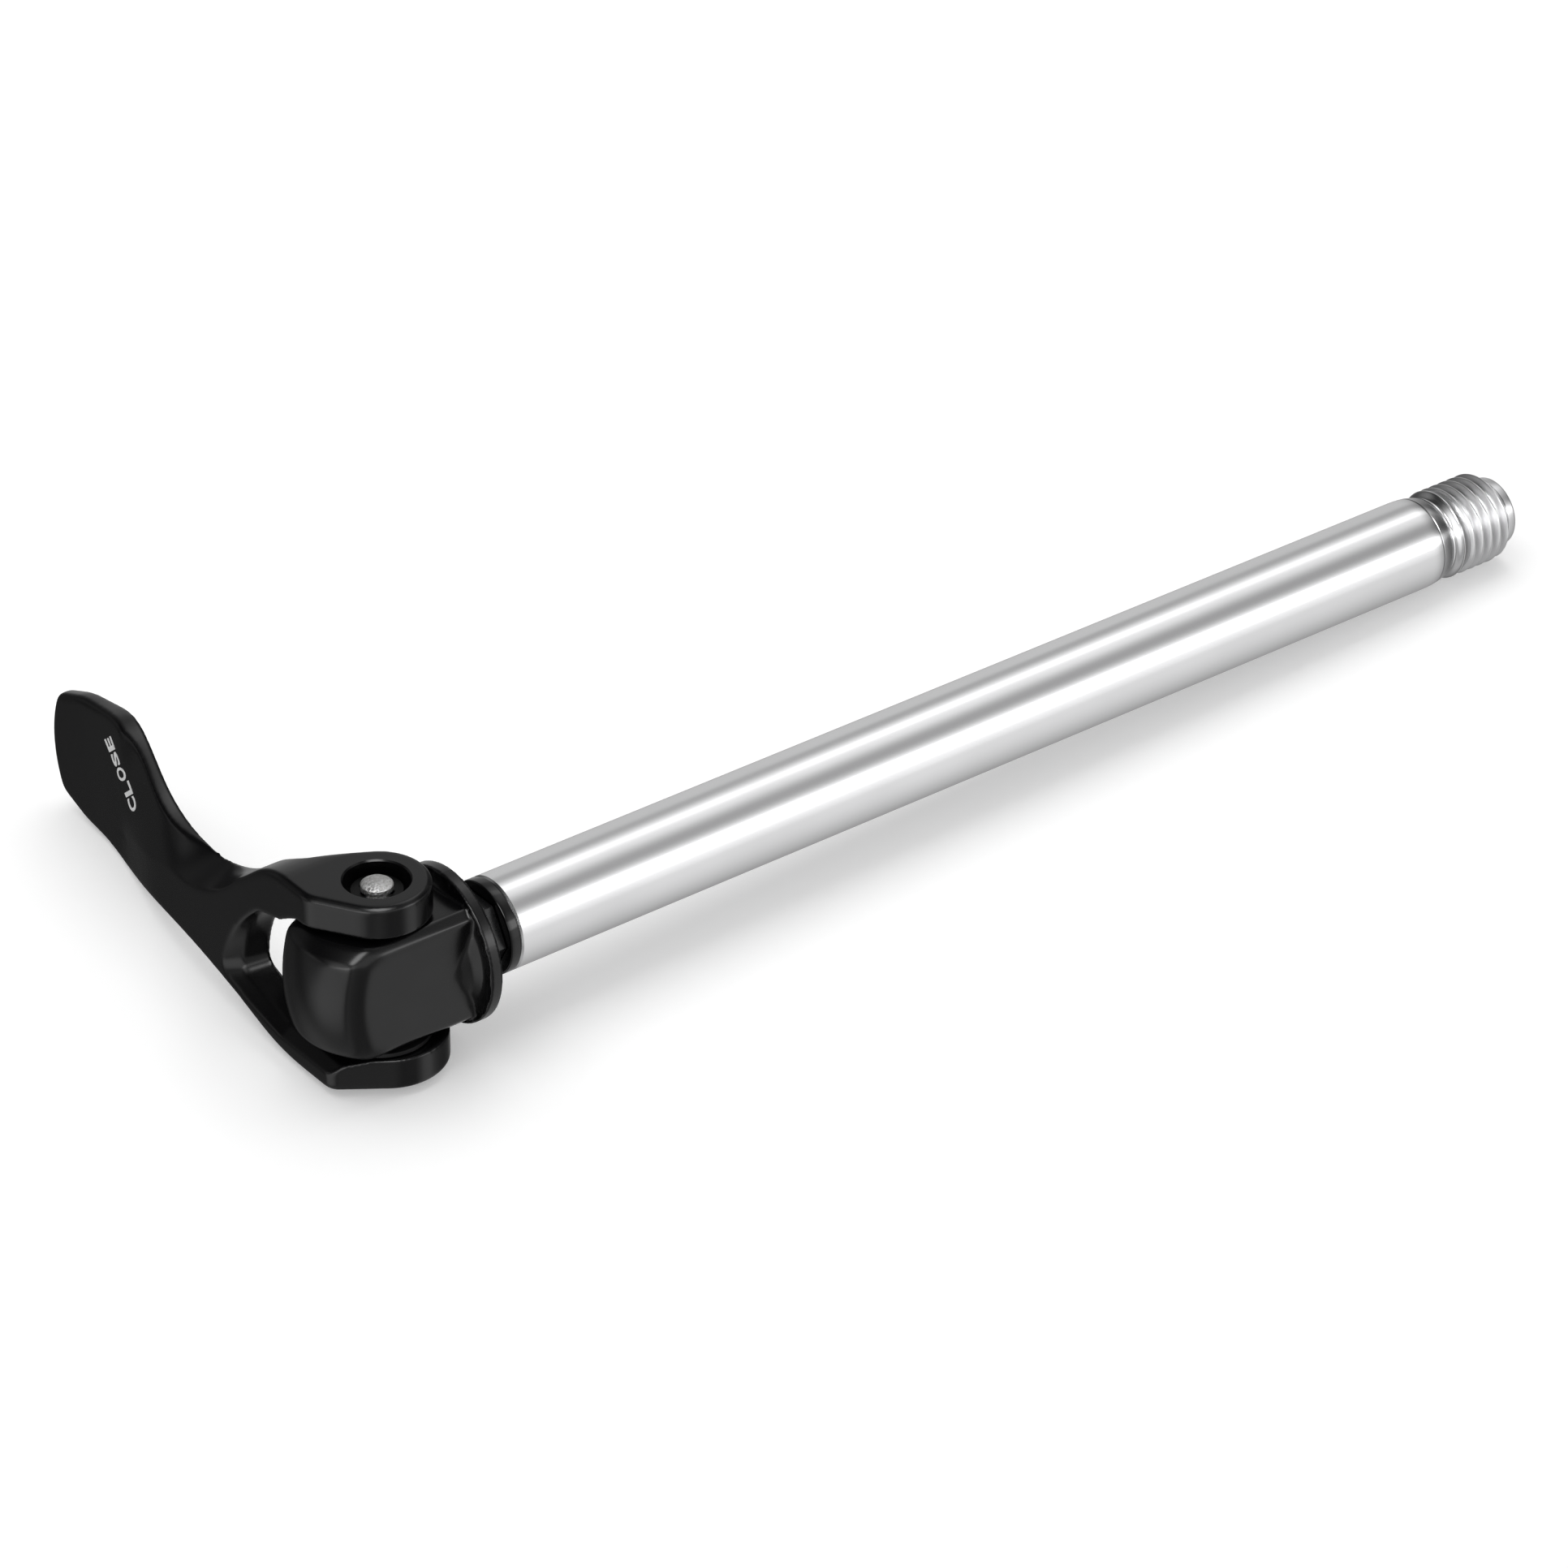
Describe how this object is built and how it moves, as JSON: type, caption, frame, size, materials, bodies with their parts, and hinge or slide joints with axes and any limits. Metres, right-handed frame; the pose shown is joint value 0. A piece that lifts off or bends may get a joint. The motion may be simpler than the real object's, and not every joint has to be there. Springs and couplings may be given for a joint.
{
  "type": "bicycle thru axle",
  "caption": "Hollow threaded bicycle thru axle with a flanged cam housing and a forked quick-release lever that clamps a wheel in the frame.",
  "frame": {"origin": "on the axle's axis, in the plane of the flange's clamping face", "axes": "+X along the axle towards the thread, +Z along the cam pin (upward as it lies), +Y towards the handle of the closed lever"},
  "size_m": [0.1875, 0.0772, 0.0256],
  "materials": {
    "axle_shaft": "bright satin, turned",
    "collar_ring": "gloss black",
    "cam_stem": "satin black on steel",
    "cam_housing": "satin black on forged aluminium",
    "bush": "moulded",
    "lever": "satin black on forged aluminium",
    "cam_pin": "bright turned steel",
    "pin_clip": "blackened spring steel"
  },
  "bodies": {
    "axle": {"axle_shaft": "axle_shaft", "collar_ring": "collar_ring", "cam_stem": "cam_stem"},
    "housing": {"cam_housing": "cam_housing", "pin_bush_upper": "bush", "pin_bush_lower": "bush"},
    "lever": {"lever": "lever", "cam_pin": "cam_pin", "pin_clip": "pin_clip"}
  },
  "joints": [
    {"name": "housing_slide", "type": "slide", "parent": "axle", "child": "housing", "axis": [1, 0, 0], "range_m": [-0.0015, 0]},
    {"name": "lever_turn", "type": "hinge", "parent": "housing", "child": "lever", "pos_m": [-0.01065, 0, 0], "axis": [0, 0, 1], "range_deg": [0, 180]}
  ],
  "couplings": [
    {"joint": "housing_slide", "follows": "lever_turn", "m_per_rad": -0.000477}
  ]
}
